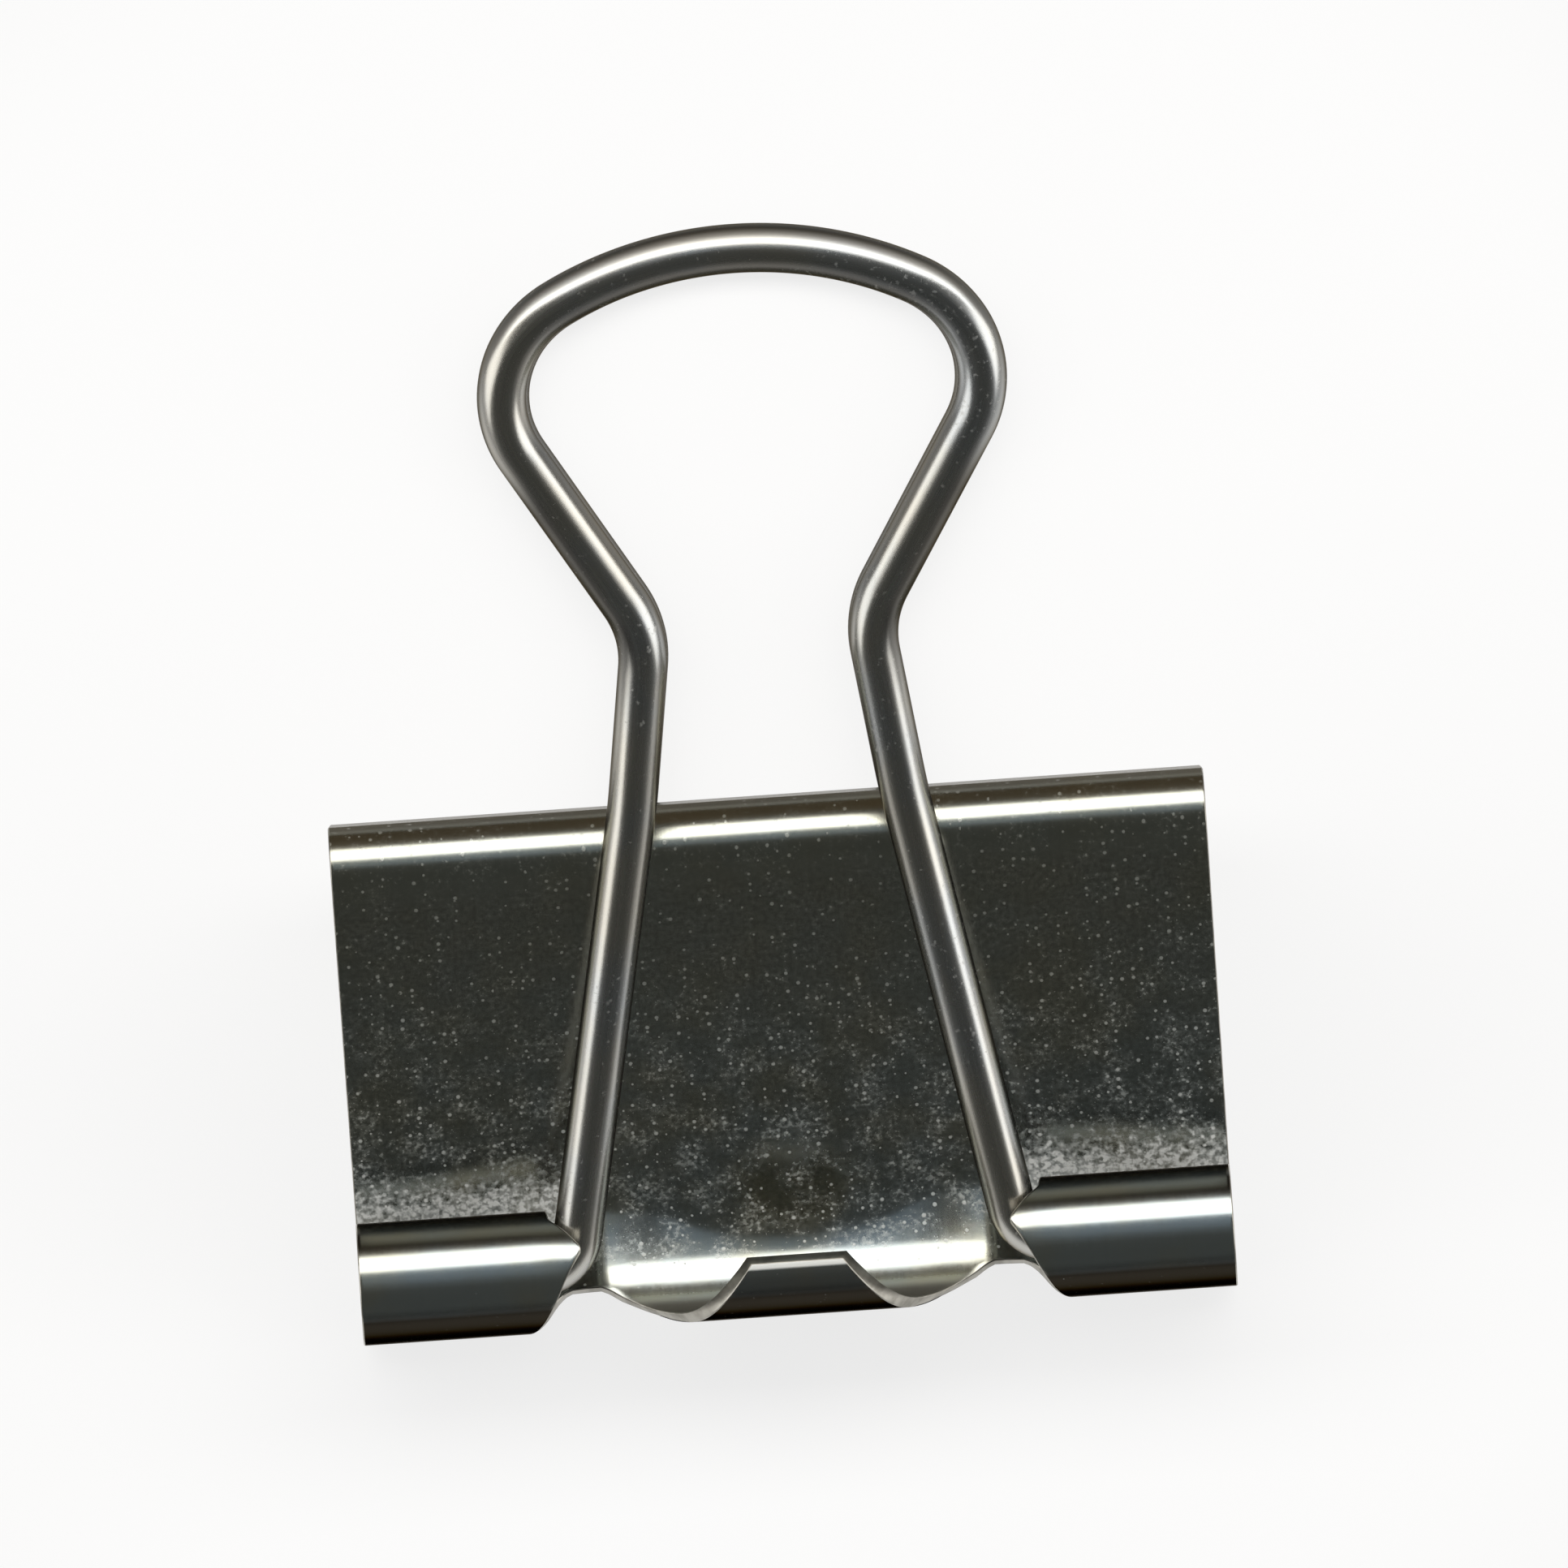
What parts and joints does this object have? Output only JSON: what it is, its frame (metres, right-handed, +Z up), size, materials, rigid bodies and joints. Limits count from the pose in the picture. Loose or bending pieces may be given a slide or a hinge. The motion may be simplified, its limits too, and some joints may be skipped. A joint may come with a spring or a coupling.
{
  "type": "foldback clip",
  "caption": "Foldback clip: a folded spring-steel strip with rolled, notched jaws that open about its spine, and a hinged wire handle on each jaw.",
  "frame": {"origin": "on the floor under the middle of the box of the clip, which lies on its rear side with both handles folded back", "axes": "+X across the width of the clip, +Y from the jaws towards the spine and the handle loops, +Z up"},
  "size_m": [0.032, 0.0446, 0.0345],
  "materials": {
    "spring_steel": "bright nickel plating over spring steel sheet",
    "handle_wire": "bright nickel plating over steel wire"
  },
  "bodies": {
    "spine": {"spine": "spring_steel"},
    "front_jaw": {"front_jaw": "spring_steel"},
    "rear_jaw": {"rear_jaw": "spring_steel"},
    "front_handle": {"front_handle": "handle_wire"},
    "rear_handle": {"rear_handle": "handle_wire"}
  },
  "joints": [
    {"name": "front_jaw_flex", "type": "hinge", "parent": "spine", "child": "front_jaw", "pos_m": [0, -0.0045, 0.01299], "axis": [-1, 0, 0], "range_deg": [0, 25], "stiffness_Nm_per_rad": 0.3},
    {"name": "rear_jaw_flex", "type": "hinge", "parent": "spine", "child": "rear_jaw", "pos_m": [0, -0.00249, 0.00755], "axis": [1, 0, 0], "range_deg": [0, 25], "stiffness_Nm_per_rad": 0.3},
    {"name": "front_handle_pivot", "type": "hinge", "parent": "front_jaw", "child": "front_handle", "pos_m": [0, -0.02005, 0.0067], "axis": [1, 0, 0], "range_deg": [0, 157.8]},
    {"name": "rear_handle_pivot", "type": "hinge", "parent": "rear_jaw", "child": "rear_handle", "pos_m": [0, -0.0184, 0.00223], "axis": [-1, 0, 0], "range_deg": [0, 157.8]}
  ],
  "couplings": [
    {"joint": "rear_jaw_flex", "follows": "front_jaw_flex", "ratio": 1}
  ]
}
